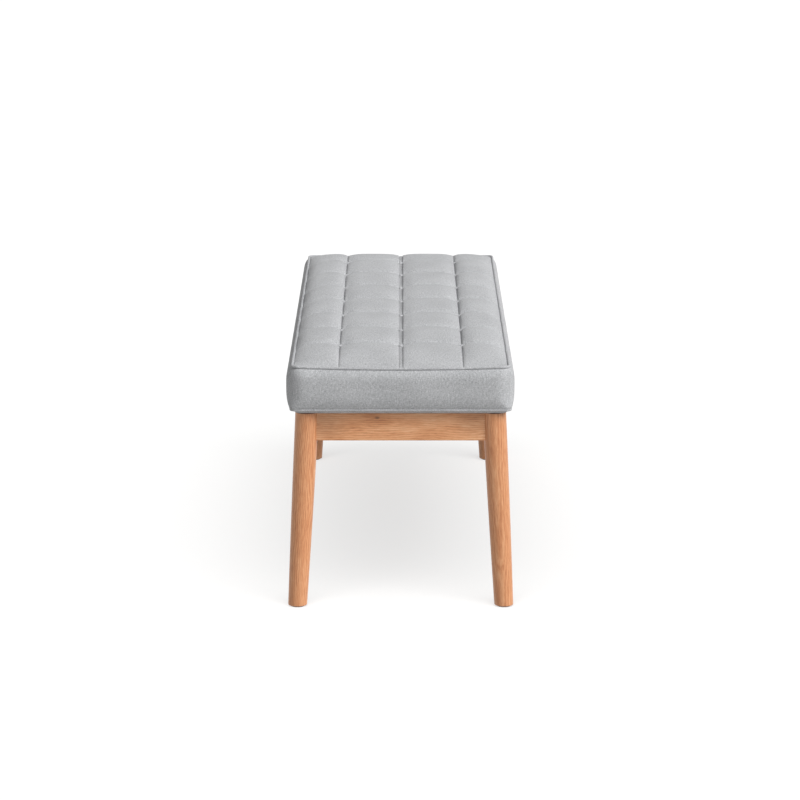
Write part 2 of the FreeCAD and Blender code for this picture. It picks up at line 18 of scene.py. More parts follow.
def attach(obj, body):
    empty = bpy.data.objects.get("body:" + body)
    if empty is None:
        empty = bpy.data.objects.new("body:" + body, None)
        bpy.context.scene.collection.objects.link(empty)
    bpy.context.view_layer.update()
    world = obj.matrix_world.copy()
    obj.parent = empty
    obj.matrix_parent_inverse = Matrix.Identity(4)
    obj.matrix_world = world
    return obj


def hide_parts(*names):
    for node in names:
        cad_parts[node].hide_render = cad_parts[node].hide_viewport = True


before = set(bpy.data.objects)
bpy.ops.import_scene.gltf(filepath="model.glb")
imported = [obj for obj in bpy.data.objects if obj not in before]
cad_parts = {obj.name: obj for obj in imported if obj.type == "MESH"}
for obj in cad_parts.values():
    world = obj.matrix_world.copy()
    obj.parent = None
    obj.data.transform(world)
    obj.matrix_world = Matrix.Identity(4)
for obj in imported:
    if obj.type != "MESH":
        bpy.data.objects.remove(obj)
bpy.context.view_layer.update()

# %% [markdown]
# ## Units, colours and nodes
# Blender works in metres and a bench maker in millimetres, so sizes are written in millimetres and
# brought over by one factor. Colours are written as hex codes, as a paint chart or an image program
# gives them, and turned into the linear values that shaders expect. A node tree is easier to read when
# each node is one call with its settings and links, so a single helper adds any kind of node.

# %% Helpers for units, colours and nodes
MM = 0.001
QUARTER = math.pi / 2         # of a turn


def linear(hex_code):
    """A hex colour as the linear values that shader sockets take."""
    parts = [int(hex_code[place:place + 2], 16) / 255 for place in (1, 3, 5)]
    return [part / 12.92 if part <= 0.04045 else ((part + 0.055) / 1.055) ** 2.4 for part in parts] + [1.0]


def node(tree, kind, inputs, stops=(), **settings):
    """Adds one node. An input is a number, a colour or another node's socket, and stops are for a ramp."""
    made = tree.nodes.new("ShaderNode" + kind)
    for name, value in settings.items():
        setattr(made, name, value)
    for name, value in inputs.items():
        if isinstance(value, bpy.types.NodeSocket):
            tree.links.new(value, made.inputs[name])
        else:
            made.inputs[name].default_value = value
    for number, (place, colour) in enumerate(stops):
        ramp = made.color_ramp.elements
        stop = ramp[number] if number < 2 else ramp.new(place)
        stop.position, stop.color = place, linear(colour)
    return made


def new_material(name, values):
    """A material, its node tree to build in, and its surface shader, which gets these values."""
    material = bpy.data.materials.new(name)
    material.use_nodes = True
    surface = material.node_tree.nodes["Principled BSDF"]
    for socket, value in values.items():
        surface.inputs[socket].default_value = value
    return material, material.node_tree, surface


def number_math(tree, operation, *values):
    """One step of arithmetic on single numbers."""
    return node(tree, "Math", dict(enumerate(values)), operation=operation).outputs[0]


def vector_math(tree, operation, first, second):
    """One step of arithmetic on positions or colours. SCALE takes a single number second."""
    name = "Scale" if operation == "SCALE" else 1
    return node(tree, "VectorMath", {0: first, name: second}, operation=operation).outputs[0]


def remap(tree, value, low, high, start=0.0, end=1.0):
    """Brings a value that runs from start to end to one that runs from low to high."""
    return node(tree, "MapRange", {"Value": value, "From Min": start, "From Max": end,
                                   "To Min": low, "To Max": high}).outputs["Result"]


def pushed(tree, place, push, reach):
    """The place, pushed about by a noise's colour, whose middle value stands for no push."""
    push = vector_math(tree, "SUBTRACT", push, (0.5, 0.5, 0.5))
    return vector_math(tree, "ADD", place, vector_math(tree, "SCALE", push, reach))


def stretched_noise(tree, place, sizes, roughness):
    """Noise whose grains have these sizes along X, Y and Z."""
    scale = tuple(1 / size for size in sizes)
    stretched = node(tree, "Mapping", {"Vector": place, "Scale": scale}).outputs["Vector"]
    return node(tree, "TexNoise", {"Vector": stretched, "Scale": 1.0, "Detail": 3.0,
                                   "Roughness": roughness}).outputs["Fac"]


def own_noise(tree, scale, detail):
    """Even noise in the object's own space."""
    place = node(tree, "TexCoord", {}).outputs["Object"]
    return node(tree, "TexNoise", {"Vector": place, "Scale": scale, "Detail": detail}).outputs["Fac"]


def add_colour(tree, surface, value, stops, shade=1.0):
    """Colours the surface by a value through a ramp, and makes it darker by a shade below 1."""
    colour = node(tree, "ValToRGB", {"Fac": value}, stops=stops).outputs["Color"]
    tree.links.new(vector_math(tree, "SCALE", colour, shade), surface.inputs["Base Color"])


def add_bump(tree, surface, height, strength, distance):
    """Gives the surface a fine relief, some millimetres deep."""
    bump = node(tree, "Bump", {"Height": height, "Strength": strength, "Distance": distance * MM})
    tree.links.new(bump.outputs["Normal"], surface.inputs["Normal"])


# %% [markdown]
# ## Camera
# The photograph was taken from beyond one end of the bench, a little above it, with a long lens. The
# bench's known corners fix where the camera stood: 6.8 m from the middle, 1.65 m up, looking down by
# 11.5 degrees. A long lens keeps the far end nearly as wide as the near end, as the photograph shows.

# %% Place the camera
LOOKS_DOWN = 11.53            # in degrees
bpy.ops.object.camera_add(location=(6.808, 0, 1.645),
                          rotation=(math.radians(90 - LOOKS_DOWN), 0, QUARTER))
camera = bpy.context.object
camera.data.sensor_width = 36
camera.data.lens = 157.8
camera.data.shift_x = -0.0009
camera.data.clip_end = 60
bpy.context.scene.camera = camera
bpy.context.scene.view_settings.view_transform = "Standard"

# %% [markdown]
# ## Floor and light
# The bench stands on a white floor that runs into a white background. The floor is a real surface, so
# that it catches the soft shadow under the bench, and the world is plain white where the camera, a
# reflection or clear material looks at it. The light itself is a wide, weak dome from the world, and one
# distant soft lamp high on the right, which makes the top of the cushion brighter than its sides. As in a
# studio, a flag keeps that lamp off the paper, which has a wide lamp of its own straight above it, so the
# shadow lies soft and grey right under the bench. Part of the paper's white is its own glow.

# %% Floor, world and lamps
bpy.ops.mesh.primitive_plane_add(size=40)
floor = bpy.context.object
floor.name = "floor"


def background_rays(tree):
    """1 where the camera, a reflection or clear material looks straight at the floor or the world."""
    rays = node(tree, "LightPath", {}).outputs
    seen = number_math(tree, "MAXIMUM", rays["Is Camera Ray"], rays["Is Glossy Ray"])
    return number_math(tree, "MAXIMUM", seen, rays["Is Transmission Ray"])


GLOW, GLOW_LEVEL = 0.27, 2.36  # the share of the paper's white that is its own glow, and how bright it is
paper, tree, surface = new_material("seamless_white_paper", {
    "Base Color": linear("#BEBEBD"), "Roughness": 0.9, "Specular IOR Level": 0.1})
share = remap(tree, background_rays(tree), 0.0, GLOW)
white = node(tree, "Emission", {"Color": (1, 1, 1, 1), "Strength": GLOW_LEVEL}).outputs[0]
mixed = node(tree, "MixShader", {0: share, 1: surface.outputs[0], 2: white}).outputs[0]
tree.links.new(mixed, tree.nodes["Material Output"].inputs["Surface"])
floor.data.materials.append(paper)

world = bpy.data.worlds.new("studio")
bpy.context.scene.world = world
world.use_nodes = True
tree = world.node_tree
DOME = 0.32                   # how bright the world is as a source of light
tree.links.new(remap(tree, background_rays(tree), DOME, 1.0), tree.nodes["Background"].inputs["Strength"])
tree.nodes["Background"].inputs["Color"].default_value = (1, 1, 1, 1)


def add_lamp(name, source, energy, angle, paper_state):
    """A distant lamp that lights either the paper alone or everything but the paper."""
    turn = source.to_track_quat("Z", "Y").to_euler()
    bpy.ops.object.light_add(type="SUN", location=source * 4, rotation=turn)
    lamp = bpy.context.object
    lamp.name = name
    lamp.data.energy, lamp.data.angle = energy, math.radians(angle)
    flag = bpy.data.collections.new(name + "_flag")
    flag.objects.link(floor)
    flag.collection_objects[0].light_linking.link_state = paper_state
    lamp.light_linking.receiver_collection = flag


add_lamp("key", Vector((0.46, 0.72, 0.80)), 3.22, 36, "EXCLUDE")
add_lamp("paper_lamp", Vector((0.78, 0.12, 1.0)), 3.1, 64, "INCLUDE")

# %% [markdown]
# ## Upholstery cloth
# The cover is a heathered polyester cloth in a plain weave. Its yarns are spun from lighter and darker
# grey fibres, so each yarn changes tone every few millimetres. That gives the eye a fine grain of short
# streaks, along the warp where a warp yarn lies on top and across it where a weft yarn does. The product
# of two sine waves is high at each crossing and changes sign from one to the next, so it gives both the
# height of the weave and which yarn is on top. Cloth is rough and has a weak sheen from its loose fibres.

# %% Cloth material
YARN = 1.5 * MM               # real yarns are nearer 0.9 mm, but would be too fine to show
YARN_WANDER = 0.9 * MM        # how unevenly the yarns lie
STREAK_LONG, STREAK_SHORT, STREAK_WIDE = 7 * MM, 3.6 * MM, 2.0 * MM


def cloth_material(name, tones, turn=0.0):
    """Plain woven cloth that follows the piece's own weave attribute, turned for cloth cut on the bias."""
    material, tree, surface = new_material(name, {
        "Roughness": 0.93, "Specular IOR Level": 0.25, "Sheen Weight": 0.18, "Sheen Roughness": 0.45})
    place = node(tree, "Attribute", {}, attribute_name="weave").outputs["Vector"]
    place = node(tree, "Mapping", {"Vector": place, "Rotation": (0, 0, turn)}).outputs["Vector"]
    wander = node(tree, "TexNoise", {"Vector": place, "Scale": 120.0, "Detail": 1.0}).outputs["Color"]
    place = pushed(tree, place, wander, YARN_WANDER)

    phase = vector_math(tree, "SCALE", place, math.pi / YARN)
    phase = node(tree, "SeparateXYZ", {"Vector": phase}).outputs
    warp, weft = number_math(tree, "SINE", phase["X"]), number_math(tree, "SINE", phase["Y"])
    crossing = number_math(tree, "MULTIPLY", warp, weft)
    on_top = number_math(tree, "GREATER_THAN", crossing, 0.0)
    knuckle = number_math(tree, "POWER", number_math(tree, "ABSOLUTE", crossing), 0.6)

    warp_tone = stretched_noise(tree, place, (STREAK_WIDE, STREAK_LONG, 1), 0.65)
    weft_tone = stretched_noise(tree, place, (STREAK_SHORT, STREAK_WIDE, 1), 0.65)
    tone = node(tree, "Mix", {"Factor": on_top, "A": weft_tone, "B": warp_tone}).outputs["Result"]
    cloudy = node(tree, "TexNoise", {"Vector": place, "Scale": 14.0, "Detail": 2.0}).outputs["Fac"]
    tone = node(tree, "Mix", {"Factor": 0.12, "A": tone, "B": cloudy}).outputs["Result"]
    # The colour is scaled by the weave's height: painted shade in its low places between crossings, and a
    # faint painted highlight on the crossings.
    add_colour(tree, surface, tone, tones, remap(tree, knuckle, 0.86, 1.03))
    add_bump(tree, surface, knuckle, 0.55, 0.3)
    return material


GREY_YARN = [(0.31, "#8B8C8E"), (0.45, "#AFB0B2"), (0.55, "#C1C2C4"), (0.69, "#DDDEE0")]
cover_cloth = cloth_material("heathered_polyester_plain_weave", GREY_YARN)
bias_cloth = cloth_material("heathered_polyester_on_the_bias", GREY_YARN, math.radians(45))

# %% [markdown]
# ## Hardwood
# The legs and rails are a reddish light brown hardwood with open pores, sanded and sealed with a satin
# lacquer. Wood is a solid pattern, not a picture on a surface: growth rings lie round the middle of the
# tree, and every cut shows them from another side. The material therefore works on a position inside the
# plank, whose Z runs with the fibres. A turned leg carries that position as an attribute, taken before it
# was tilted, so its grain runs along its own length, and a straight rail gets it from its place.

# %% Wood material
RING_WIDTH = 3.2 * MM
FIBRE_WIDTH, FIBRE_LONG = 1.7 * MM, 20 * MM
PORE_WIDTH, PORE_LONG = 0.45 * MM, 7 * MM
SWAY = 18 * MM                # how far the fibres sway from a straight line
DARK_SPOT_SQUEEZE = 0.55           # a dark spot's width as a share of its length along the fibres
HARDWOOD = [(0.22, "#AA663E"), (0.44, "#CA885B"), (0.56, "#D8996C"), (0.78, "#E8B488")]


def wood_material(name, tones, turn=None, middle=(0.055, 0.03, 0.0), gloss=0.42, mottle=0.38, knots_and_end_shade=()):
    """Wood. With a turn, its place is the object's own, turned so that Z runs with the fibres."""
    material, tree, surface = new_material(name, {"IOR": 1.5, "Coat Weight": 0.12, "Coat Roughness": 0.3})
    if turn is None:
        place = node(tree, "Attribute", {}, attribute_name="grain").outputs["Vector"]
    else:
        place = node(tree, "TexCoord", {}).outputs["Object"]
        place = node(tree, "Mapping", {"Vector": place, "Rotation": turn}).outputs["Vector"]

    slow = node(tree, "Mapping", {"Vector": place, "Scale": (22, 22, 6)}).outputs["Vector"]
    sway = node(tree, "TexNoise", {"Vector": slow, "Scale": 1.0, "Detail": 2.0}).outputs["Color"]
    swayed = pushed(tree, place, sway, SWAY)
    from_pith = node(tree, "Mapping", {"Vector": swayed, "Location": middle}).outputs["Vector"]
    ring_scale = 2 * math.pi / 20 / RING_WIDTH  # the wave texture itself counts 20 radians to a unit
    rings = node(tree, "TexWave", {"Vector": from_pith, "Scale": ring_scale, "Distortion": 1.2,
                                   "Detail": 2.0, "Detail Scale": 0.6}, wave_type="RINGS",
                 rings_direction="Z", wave_profile="SIN").outputs["Fac"]

    fibres = stretched_noise(tree, swayed, (FIBRE_WIDTH, FIBRE_WIDTH, FIBRE_LONG), 0.68)
    pores = stretched_noise(tree, swayed, (PORE_WIDTH, PORE_WIDTH, PORE_LONG), 0.68)
    tone = node(tree, "Mix", {"Factor": 0.18, "A": fibres, "B": rings}).outputs["Result"]
    board = node(tree, "TexNoise", {"Vector": slow, "Scale": 1.7, "Detail": 1.0}).outputs["Fac"]
    tone = node(tree, "Mix", {"Factor": mottle, "A": tone, "B": board}).outputs["Result"]
    open_pore = remap(tree, pores, 0.0, 1.0, 0.60, 0.72)
    darker = remap(tree, open_pore, 1.0, 0.74)
    # Each dark spot darkens the colour: the small one is a knot, the two large ones are painted shade next to
    # the legs.
    for spot_place, spot_size, left in knots_and_end_shade:
        flat = node(tree, "Mapping", {"Vector": place, "Scale": (1, 1, DARK_SPOT_SQUEEZE)}).outputs["Vector"]
        spot = (spot_place[0], spot_place[1], spot_place[2] * DARK_SPOT_SQUEEZE)
        distance = node(tree, "VectorMath", {0: flat, 1: spot}, operation="DISTANCE").outputs["Value"]
        dark = remap(tree, distance, left, 1.0, spot_size * 0.3, spot_size)
        darker = number_math(tree, "MULTIPLY", darker, dark)
    add_colour(tree, surface, tone, tones, darker)
    add_bump(tree, surface, number_math(tree, "SUBTRACT", fibres, open_pore), 0.25, 0.25)
    tree.links.new(remap(tree, fibres, gloss - 0.06, gloss + 0.10), surface.inputs["Roughness"])
    return material


turned_wood = wood_material("lacquered_hardwood_turned", HARDWOOD, mottle=0.14)
long_wood = wood_material("lacquered_hardwood_along_x", HARDWOOD, (0, QUARTER, 0), (0.04, 0.36, 0))
# The end rails are the same hardwood in lighter tones, which is painted light.
HARDWOOD_PAINTED_LIGHTER = [(0.30, "#AE693F"), (0.45, "#D69565"), (0.56, "#E7A97B"), (0.70, "#F4C59A")]
# Dark spots of the right end rail, a small knot and painted shade at both ends beside the legs: its outer
# face, then across, up, size and how much colour is left.
RAIL_FACE = 611.5
SPOTS = ((-42.5, 348.0, 3.2, 0.42), (-143.0, 333.0, 32.0, 0.74), (140.0, 338.0, 30.0, 0.80))
KNOT_AND_END_SHADE = [((RAIL_FACE * MM, -up * MM, across * MM), size * MM, left) for across, up, size, left in SPOTS]
end_wood = wood_material("lacquered_hardwood_along_y", HARDWOOD_PAINTED_LIGHTER, (QUARTER, 0, 0), (-1.29, -0.75, 0),
                         knots_and_end_shade=KNOT_AND_END_SHADE)
PALE = [(0.18, "#B98D5C"), (0.40, "#CFA775"), (0.60, "#DCB88A"), (0.85, "#E8CBA2")]
brace_wood = wood_material("sawn_softwood_along_y", PALE, (QUARTER, 0, 0), (0.3, 0.2, 0), 0.72)

# %% [markdown]
# ## How pieces are finished
# Every piece ends with its object at the origin and its place in its mesh, as the solid model's pieces
# have it. A piece then rides on the bench's one body, takes its material, and hides the solids that it
# stands for. Starting from nothing selected keeps each operator to the piece in hand.

# %% Helpers for pieces
def only(piece):
    """Selects one object and nothing else."""
    bpy.ops.object.select_all(action="DESELECT")
    piece.select_set(True)
    bpy.context.view_layer.objects.active = piece


def points_of(piece):
    """The piece's vertices as rows of x, y and z, in metres."""
    flat = np.empty(len(piece.data.vertices) * 3)
    piece.data.vertices.foreach_get("co", flat)
    return flat.reshape(-1, 3)


def move_points(piece, points):
    """Puts the piece's vertices at these rows of x, y and z, in metres."""
    piece.data.vertices.foreach_set("co", np.asarray(points, np.float32).ravel())
    piece.data.update()


def mark(piece, name, rows):
    """Stores a position for each vertex that a material can read, in metres."""
    made = piece.data.attributes.new(name, "FLOAT_VECTOR", "POINT")
    made.data.foreach_set("vector", np.asarray(rows, np.float32).ravel())


def thicken(piece, thickness, offset):
    """Makes a smooth sheet as thick as cloth, inwards with an offset of -1 and both ways with 0."""
    only(piece)
    bpy.ops.object.shade_smooth()
    thick = piece.modifiers.new("cloth_thickness", "SOLIDIFY")
    thick.thickness = thickness * MM
    thick.offset = offset
    bpy.ops.object.modifier_apply(modifier="cloth_thickness")


def finish(piece, name, material, slot, *replaced):
    """Names the piece, gives it its material and ties it to the frame."""
    piece.name = piece.data.name = name
    piece.data.materials.clear()
    piece.data.materials.append(material)
    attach(piece, "root")
    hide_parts(*replaced)
    return piece


# %% [markdown]
# ## The cushion's form
# The top is sewn from four strips of cloth over soft fibre. Each panel between two tuft rows swells into
# a low pillow, flat on its crown and steep at its edges. The seams dip, most at the tufts, and between
# two tufts a soft crease arches across the strip. Such a form is a height over a plan, so the way to make
# it is a flat grid whose lines are close together where the cloth turns sharply, lifted by a formula.

# %% Sizes of the cushion, in millimetres
PIPING_X, PIPING_Y = 625.5, 195.5  # from the middle of the bench to the middle of the piping
PIPING_TOP, PIPING_LOW = 444.0, 365.6
PIPING_CORNER, LOWER_CORNER, SWELL_CORNER = 14.0, 9.0, 36.0  # radii in plan
SWELL = 10.0                  # how far the sides stand out past the piping
SWELL_BELOW = 0.0375          # how far down their fullest place is, as a share of half the height
SHOULDER, UNDERCUT = 0.86, 0.52  # the share of the swell that is gone again at the upper and lower piping
FULLER_LEFT = 0.13            # how much fuller the stuffing is on the left long side
HEM = 2.3                     # from the piping's middle to the edge of the top
ROWS = range(-3, 4)           # of tufts, numbered from the middle
ROW = 2 * PIPING_X / 8        # from one row to the next
LAST_ROW = 3 * ROW
SEAMS = (-112.0, 0.0, 112.0)
TUFT_Z = 454.5
TUFTS = [(row * ROW, seam) for row in ROWS for seam in SEAMS]
TAPE = 3.1                    # half the flat strip between the two stitch lines of the middle seam
ARCH, LAST_ARCH = 4.5, 5.5    # how far a seam rises between two tufts, and past the last one
CROWN, PILLOW = 6.6, 3.4      # a panel's height over its seams along a crease, and what its middle adds
END_LESS, END_MORE = 5.6, 2.2  # what an end panel loses towards the end, and what its middle adds
EDGE_DROP = 0.4               # how far the edge of the top is under the piping's middle
# The powers of a panel's curve: a higher one makes a flatter crown and a steeper edge.
ALONG_POWER, ARCH_POWER, CREASE_POWER, MORE_POWER, SEAM_SIDE_POWER = 3.2, 1.8, 2.8, 1.3, 4.6


def top_height(x, y):
    """The height of the top at each place, in millimetres."""
    past = np.clip((np.abs(x) - LAST_ROW) / ROW, 0, 1)
    over = 2 * ((np.abs(x) / ROW) % 1) - 1
    pillow = np.where(past > 0, 0.0, 1 - np.abs(over) ** ALONG_POWER)
    arch = np.where(past > 0, 0.0, 1 - np.abs(over) ** ARCH_POWER)
    drop = 4 * past * (1 - past)
    seam = TUFT_Z + ARCH * arch + (PIPING_TOP - TUFT_Z) * past + LAST_ARCH * drop
    rise = CROWN + PILLOW * pillow - END_LESS * past + END_MORE * drop
    edges = np.array((-PIPING_Y + HEM,) + SEAMS + (PIPING_Y - HEM,))
    panel = np.clip(np.searchsorted(edges, y, side="right") - 1, 0, 3)
    low, high = edges[panel], edges[panel + 1]
    across = np.clip(2 * (y - low) / (high - low) - 1, -1, 1)
    to_hem = np.where(panel == 0, (1 - across) / 2, np.where(panel == 3, (1 + across) / 2, 0))
    power = CREASE_POWER + MORE_POWER * np.maximum(pillow, drop)
    power = np.where((np.abs(y) > SEAMS[2]) & (to_hem < 0.5), SEAM_SIDE_POWER, power)
    return seam - (seam - PIPING_TOP + EDGE_DROP) * to_hem ** 3 + rise * (1 - np.abs(across) ** power)


# %% [markdown]
# The seams need finer work than the panels. A side seam is a narrow fold where two strips meet. The
# middle seam is flat-felled, with a strip of cloth 5 mm wide between two stitched lines, so it shows as a
# shallow channel. At each tuft the cloth is drawn into a small pit. The piping's line isn't straight
# either: it dips a little along the short ends, and each crease pulls it in by about a millimetre.

# %% Seam folds, tuft pits and the pull on the edges
def bell(distance, width):
    """1 at no distance, and near 0 past about two widths."""
    return np.exp(-(distance / width) ** 2)


def fold(distance, depth, width):
    """How deep a fold is at some distance from its line."""
    return depth * bell(distance, width)


# The depth and the width of each kind of fold.
SEAM_FOLD = (1.8, 1.7)        # where two strips meet
STITCH_FOLD = (3.0, 0.9)      # along both stitched lines of the middle seam
CREASE_FOLD = (2.7, 5.4)      # along each row of tufts
PIT = (4.2, 7.5)              # at each tuft
FAN = (2.4, 8.0)              # the slanting folds that run out from a tuft
FAN_REACH = 13.0              # from the tuft to where they are deepest
TAPE_DEPTH = 0.7              # of the flat strip in the middle seam
DEEPER_AT_TUFT = 0.8          # what a crease's depth gains next to a tuft


def folds(x, y):
    """How much lower the cloth lies at seams and tufts, in millimetres."""
    depth = np.where(np.abs(y) < TAPE, TAPE_DEPTH, 0.0)
    for line, kind in ((SEAMS[2], SEAM_FOLD), (TAPE, STITCH_FOLD)):
        depth = np.maximum(depth, fold(np.abs(y) - line, *kind))
    depth *= np.clip((PIPING_X - np.abs(x)) / 12, 0, 1)
    near_tuft = sum(bell(y - seam, 22.0) for seam in SEAMS)
    hem_fade = np.clip((PIPING_Y - np.abs(y)) / 25, 0, 1)
    crease_depth = CREASE_FOLD[0] + DEEPER_AT_TUFT * near_tuft
    for row in ROWS:
        depth += fold(x - row * ROW, crease_depth, CREASE_FOLD[1]) * hem_fade
    for tuft_x, tuft_y in TUFTS:
        away = np.hypot(x - tuft_x, y - tuft_y)
        turn = np.arctan2(y - tuft_y, x - tuft_x)
        depth += fold(away, *PIT)
        depth += fold(away - FAN_REACH, *FAN) * np.abs(np.sin(2 * turn)) ** 5
    return depth


# How far the piping line leaves its straight course, and from which share of the way out its pull is felt.
END_ZONE, SIDE_ZONE = 0.93, 0.86
END_DIP, SIDE_DIP, CREASE_DIP = 3.4, 0.8, 0.9
END_OUT, SIDE_OUT, CREASE_IN = 1.6, 0.5, 1.1


def pull_edges(x, y, z, share):
    """Moves places near the piping line as it leaves its straight course, or by a share of that."""
    ends = np.clip((np.abs(x) - END_ZONE * PIPING_X) / ((1 - END_ZONE) * PIPING_X), 0, 1) ** 2
    sides = np.clip((np.abs(y) - SIDE_ZONE * PIPING_Y) / ((1 - SIDE_ZONE) * PIPING_Y), 0, 1) ** 2
    end_bow = np.clip(1 - (y / PIPING_Y) ** 2, 0, 1)
    side_bow = np.clip(1 - (x / PIPING_X) ** 2, 0, 1)
    creases = sum(bell(x - row * ROW, 16.0) for row in ROWS)
    down = END_DIP * ends * end_bow + sides * (CREASE_DIP * creases + SIDE_DIP * side_bow)
    inward = sides * (CREASE_IN * creases - SIDE_OUT) - END_OUT * ends * end_bow
    at_end = np.abs(x) > END_ZONE * PIPING_X
    return (x - np.where(at_end & (inward < 0), np.sign(x) * inward * share, 0),
            y - np.where(inward > 0, np.sign(y) * inward * share, 0), z - down * share)


# %% [markdown]
# The grid starts as a plain rectangle. Its lines are set out one by one: close together at the seams, where
# the fold turns within 2 mm, and further apart on the crowns. The rim is then extruded down in rings,
# which become the four side bands, and a last face closes the bottom, because a stuffed form has to be
# closed for pressure to act on it.

# %% Set out the grid and extrude the sides
def mirrored(halves):
    """Distances from a middle, on both sides of it."""
    return sorted({round(sign * value, 4) for value in halves for sign in (-1, 1)})


def set_out(length, near_low, near_high, step):
    """Distances from 0 to length, fine at one or both ends and even between."""
    inner_low, inner_high = near_low[-1], length - near_high[-1]
    count = max(1, round((inner_high - inner_low) / step))
    evenly = [inner_low + (inner_high - inner_low) * number / count for number in range(1, count)]
    return sorted(set(list(near_low) + evenly + [length - value for value in near_high]))


SEAM_LINES = (0.0, 0.8, 1.7, 2.8, 4.4, 6.6, 9.6)
TAPE_LINES = (0.0, 1.6, 2.4, 3.1, 3.9, 4.9, 6.4, 8.6, 11.4)
HEM_LINES = (0.0, 1.4, 3.4, 6.2, 10.0)
CREASE_LINES = (0.0, 1.6, 3.4, 5.6, 8.4, 12.0)
STEP_X, STEP_Y = 6.0, 5.2     # between the lines on a crown
inner = set_out(SEAMS[2], TAPE_LINES, SEAM_LINES, STEP_Y)
outer = set_out(PIPING_Y - HEM - SEAMS[2], SEAM_LINES, HEM_LINES, STEP_Y)
lines_y = mirrored(inner + [SEAMS[2] + value for value in outer])
lines_x = []
for row in range(4):
    reach, far_lines = (ROW - HEM, HEM_LINES) if row == 3 else (ROW, CREASE_LINES)
    lines_x += [row * ROW + value for value in set_out(reach, CREASE_LINES, far_lines, STEP_X)]
lines_x = mirrored(lines_x)
count_x, count_y = len(lines_x) - 1, len(lines_y) - 1

# The heights of the rings, from the edge of the top down. The first and the last lie behind the piping.
SWELL_RINGS = 15
BAND_EDGE = 2.6               # from the middle of the piping to where a band comes into sight
FIRST_RING, FIRST_IN = 1.3, 1.5  # how far it lies under the upper piping's middle, and inside it
LAST_RING, LAST_SHARE = 0.8, 0.36  # how far it lies over the lower piping's middle, and its swell
band_top, band_low = PIPING_TOP - BAND_EDGE, PIPING_LOW + BAND_EDGE
ring_heights = [PIPING_TOP - FIRST_RING]
ring_heights += [band_top + (band_low - band_top) * number / SWELL_RINGS for number in range(SWELL_RINGS + 1)]
ring_heights += [PIPING_LOW + LAST_RING]
RING_STEP = 0.01              # the plain form's rings are this far apart, in metres


def extrude_rings(count):
    """Extrudes the selected edges down, one ring after another."""
    for _ in range(count):
        bpy.ops.mesh.extrude_region_move(TRANSFORM_OT_translate={"value": (0, 0, -RING_STEP)})


bpy.ops.mesh.primitive_grid_add(x_subdivisions=count_x, y_subdivisions=count_y, size=1)
cushion = bpy.context.object
cushion.name = "cushion_form"
bpy.ops.object.mode_set(mode="EDIT")
bpy.ops.mesh.select_mode(type="EDGE")
bpy.ops.mesh.select_all(action="DESELECT")
bpy.ops.mesh.select_non_manifold()
extrude_rings(len(ring_heights))
bpy.ops.mesh.edge_face_add()
bpy.ops.object.mode_set(mode="OBJECT")

# %% [markdown]
# Each vertex still knows its grid line and ring from its place in the plain grid, so its real place can
# be worked out. Plan corners are rounded by squeezing the corner squares into quarter discs. On the sides
# the cloth swells out between the two piping lines, less towards the corners, where the bands are sewn to
# each other and the plan is rounder.

# %% Lift the grid into the cushion's form
def round_corners(x, y, half_x, half_y, radius):
    """Moves points of a rectangle so that its corners become quarter circles."""
    along_x = np.clip((np.abs(x) - (half_x - radius)) / radius, 0, 1)
    along_y = np.clip((np.abs(y) - (half_y - radius)) / radius, 0, 1)
    flat_x, flat_y = np.minimum(np.abs(x), half_x - radius), np.minimum(np.abs(y), half_y - radius)
    return (np.sign(x) * (flat_x + radius * along_x * np.sqrt(1 - along_y ** 2 / 2)),
            np.sign(y) * (flat_y + radius * along_y * np.sqrt(1 - along_x ** 2 / 2)))


def uneven(x, y, z, size):
    """Slow unevenness from -1 to 1, as hand-laid stuffing has it."""
    rows = np.stack([x, y, z], 1) / size
    return np.array([noise.noise(Vector(row)) for row in rows])


plain = points_of(cushion)
ring = np.rint(-plain[:, 2] / RING_STEP).astype(int)
x = np.array(lines_x)[np.rint((plain[:, 0] + 0.5) * count_x).astype(int)]
y = np.array(lines_y)[np.rint((plain[:, 1] + 0.5) * count_y).astype(int)]
top = ring == 0
half_x, half_y = PIPING_X - HEM, PIPING_Y - HEM

heights = np.array([0.0] + ring_heights)
tuft_distance = np.min([np.hypot(x - tuft_x, y - tuft_y) for tuft_x, tuft_y in TUFTS], axis=0)
STRAY, STRAY_SIZE = 3.0, 55.0  # how far a crease wanders off its line, and in what waves
free = np.clip(tuft_distance / 30, 0, 1) * np.clip((half_x - np.abs(x)) / 20, 0, 1)
stray = x + STRAY * free * uneven(x, y, 0 * x, STRAY_SIZE)
height = np.where(top, top_height(stray, y) - folds(stray, y), heights[ring])
level = (height - (band_top + band_low) / 2) / ((band_top - band_low) / 2)
tilt = level + SWELL_BELOW * (1 - level ** 2)
share = np.where(tilt > 0, 1 - SHOULDER * np.abs(tilt) ** 5, 1 - UNDERCUT * np.abs(tilt) ** 3)
share = np.where(ring > 1, np.clip(share, 0, 1), 0.0)
share = np.where(ring == len(ring_heights), LAST_SHARE, share)
fuller = 1 + FULLER_LEFT * np.clip(-y / PIPING_Y, 0, 1) ** 2
out = np.where(top, -HEM, np.where(ring == 1, -FIRST_IN, SWELL * share * fuller))
lower = ring > SWELL_RINGS // 2
tight = np.where(lower, LOWER_CORNER, PIPING_CORNER)
rounder = np.where(lower, np.clip((share - 1 + UNDERCUT) / UNDERCUT, 0, 1), share)
radius = tight + (SWELL_CORNER - tight) * rounder + np.minimum(out, 0)
plan_x, plan_y = x * (PIPING_X + out) / half_x, y * (PIPING_Y + out) / half_y
plan_x, plan_y = np.where(top, x, plan_x), np.where(top, y, plan_y)
plan_x, plan_y = round_corners(plan_x, plan_y, PIPING_X + out, PIPING_Y + out, radius)

